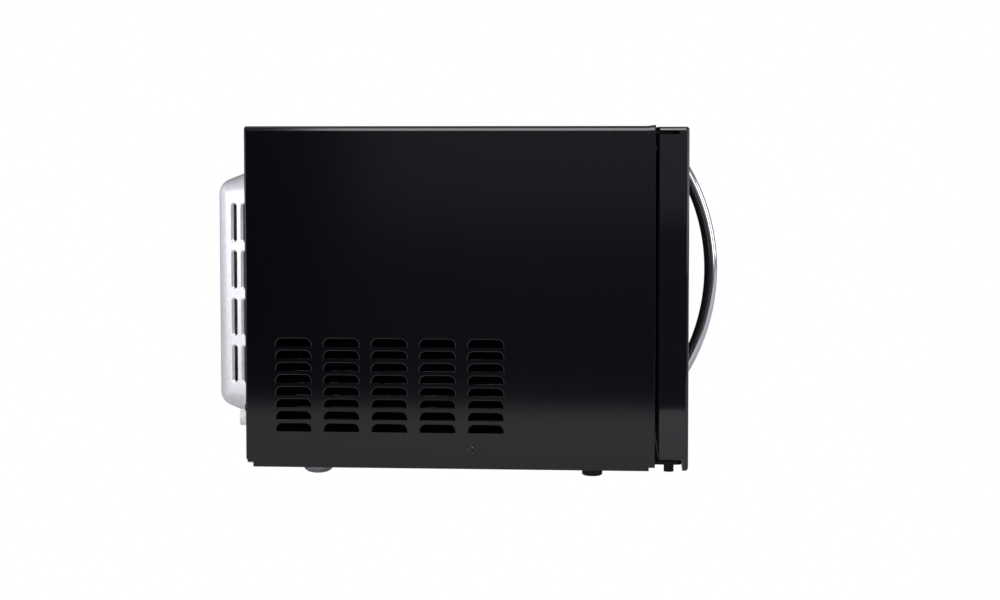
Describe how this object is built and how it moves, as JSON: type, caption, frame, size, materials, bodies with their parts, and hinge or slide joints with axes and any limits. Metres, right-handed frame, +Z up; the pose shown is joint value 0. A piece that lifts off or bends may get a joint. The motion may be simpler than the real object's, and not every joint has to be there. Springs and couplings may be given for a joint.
{
  "type": "countertop oven",
  "caption": "Countertop combination oven with a side-hinged door, bow handle, louvred black cabinet, turntable, hot-air fan under a rear cover and a control panel.",
  "frame": {"origin": "bottom centre of the oven's box, on the table, under the feet", "axes": "+Z up, the door faces -Y, +X is the user's right when facing the door"},
  "size_m": [0.5174, 0.4732, 0.306],
  "materials": {
    "cabinet_black": "satin",
    "galvanised": "matte",
    "bright_galvanised": "satin",
    "nylon_white": "matte",
    "foot_rubber": "matte",
    "black_screw": "satin",
    "zinc_screw": "satin",
    "cavity_enamel": "satin",
    "front_plate_paint": "satin",
    "mica": "matte",
    "fin_aluminium": "satin",
    "core_steel": "matte",
    "copper_enamel": "gloss",
    "can_aluminium": "satin",
    "black_plastic": "matte",
    "circuit_board": "satin",
    "grey_plastic": "matte",
    "motor_steel": "satin",
    "ceramic_white": "matte",
    "lamp_glass": "gloss",
    "tray_glass": "gloss",
    "heater_sheath": "satin",
    "gloss_black": "gloss",
    "door_glass_black": "gloss",
    "display_lens": "gloss",
    "door_panel_paint": "satin",
    "clear_film": "gloss",
    "handle_black": "gloss",
    "handle_chrome": "polished",
    "key_grey": "satin",
    "spring_steel": "satin",
    "hinge_black": "satin"
  },
  "bodies": {
    "chassis": {"outer_cabinet": "cabinet_black", "base_plate": "galvanised", "rear_panel": "galvanised", "rear_vent_cover": "bright_galvanised", "cord_gland": "nylon_white", "front_feet": "foot_rubber", "cabinet_screws": "black_screw", "chassis_screws": "zinc_screw", "oven_cavity": "cavity_enamel", "front_plate": "front_plate_paint", "waveguide": "galvanised", "waveguide_cover": "mica", "magnetron": "motor_steel", "magnetron_fins": "fin_aluminium", "transformer_core": "core_steel", "transformer_windings": "copper_enamel", "hv_capacitor": "can_aluminium", "capacitor_clamp": "galvanised", "hv_diode": "black_plastic", "filter_board": "circuit_board", "fan_shroud": "grey_plastic", "fan_motor": "motor_steel", "air_duct": "grey_plastic", "lamp_socket": "ceramic_white", "lamp_bulb": "lamp_glass", "turntable_motor": "motor_steel", "thermostats": "ceramic_white", "grill_heater": "heater_sheath", "convection_heater": "heater_sheath", "convection_housing": "galvanised", "convection_motor": "motor_steel", "control_panel": "gloss_black", "display_window": "display_lens", "control_board": "circuit_board", "keypad": "gloss_black", "latch_board": "nylon_white", "door_switches": "black_plastic", "hinge_plates": "hinge_black"},
    "door": {"door_frame": "gloss_black", "door_glass": "door_glass_black", "door_panel": "door_panel_paint", "door_film": "clear_film", "choke_cover": "black_plastic", "handle_grip": "handle_black", "handle_trim": "handle_chrome", "handle_screws": "zinc_screw", "latch_spring": "spring_steel"},
    "latch": {"latch_hooks": "nylon_white"},
    "turntable": {"turntable_coupler": "nylon_white", "glass_tray": "tray_glass"},
    "ring": {"roller_ring": "nylon_white"},
    "wheel_a": {"ring_wheel_a": "nylon_white"},
    "wheel_b": {"ring_wheel_b": "nylon_white"},
    "wheel_c": {"ring_wheel_c": "nylon_white"},
    "cooling_rotor": {"fan_blade": "nylon_white"},
    "hot_air_rotor": {"convection_fan": "fin_aluminium"},
    "start_button": {"start_key": "key_grey"},
    "stop_button": {"stop_key": "key_grey"}
  },
  "joints": [
    {"name": "door_hinge", "type": "hinge", "parent": "chassis", "child": "door", "pos_m": [-0.248, -0.1775, 0.157], "axis": [0, 0, -1], "range_deg": [0, 100]},
    {"name": "latch_lift", "type": "slide", "parent": "door", "child": "latch", "axis": [0, 0, 1], "range_m": [0, 0.004], "stiffness_N_per_m": 120, "springref_m": -0.004, "deforming": ["latch_spring"]},
    {"name": "turntable_spin", "type": "hinge", "parent": "chassis", "child": "turntable", "pos_m": [-0.064, -0.0074, 0.055], "axis": [0, 0, 1], "continuous": true},
    {"name": "ring_spin", "type": "hinge", "parent": "chassis", "child": "ring", "pos_m": [-0.064, -0.0074, 0.053], "axis": [0, 0, 1], "continuous": true},
    {"name": "cooling_fan_spin", "type": "hinge", "parent": "chassis", "child": "cooling_rotor", "pos_m": [0.184, 0.14, 0.15], "axis": [0, 1, 0], "continuous": true},
    {"name": "hot_air_fan_spin", "type": "hinge", "parent": "chassis", "child": "hot_air_rotor", "pos_m": [-0.064, 0.175, 0.154], "axis": [0, 1, 0], "continuous": true},
    {"name": "start_key_press", "type": "slide", "parent": "chassis", "child": "start_button", "axis": [0, 1, 0], "range_m": [0, 0.001], "stiffness_N_per_m": 800},
    {"name": "stop_key_press", "type": "slide", "parent": "chassis", "child": "stop_button", "axis": [0, 1, 0], "range_m": [0, 0.001], "stiffness_N_per_m": 800},
    {"name": "wheel_a_roll", "type": "hinge", "parent": "ring", "child": "wheel_a", "pos_m": [-0.064, 0.0876, 0.053], "axis": [0, 1, 0], "continuous": true},
    {"name": "wheel_b_roll", "type": "hinge", "parent": "ring", "child": "wheel_b", "pos_m": [-0.14627, -0.0549, 0.053], "axis": [-0.866, -0.5, 0], "continuous": true},
    {"name": "wheel_c_roll", "type": "hinge", "parent": "ring", "child": "wheel_c", "pos_m": [0.01827, -0.0549, 0.053], "axis": [0.866, -0.5, 0], "continuous": true}
  ],
  "couplings": [
    {"joint": "ring_spin", "follows": "turntable_spin", "ratio": 0.5},
    {"joint": "wheel_a_roll", "follows": "turntable_spin", "ratio": -7.0896},
    {"joint": "wheel_b_roll", "follows": "turntable_spin", "ratio": -7.0896},
    {"joint": "wheel_c_roll", "follows": "turntable_spin", "ratio": -7.0896}
  ]
}
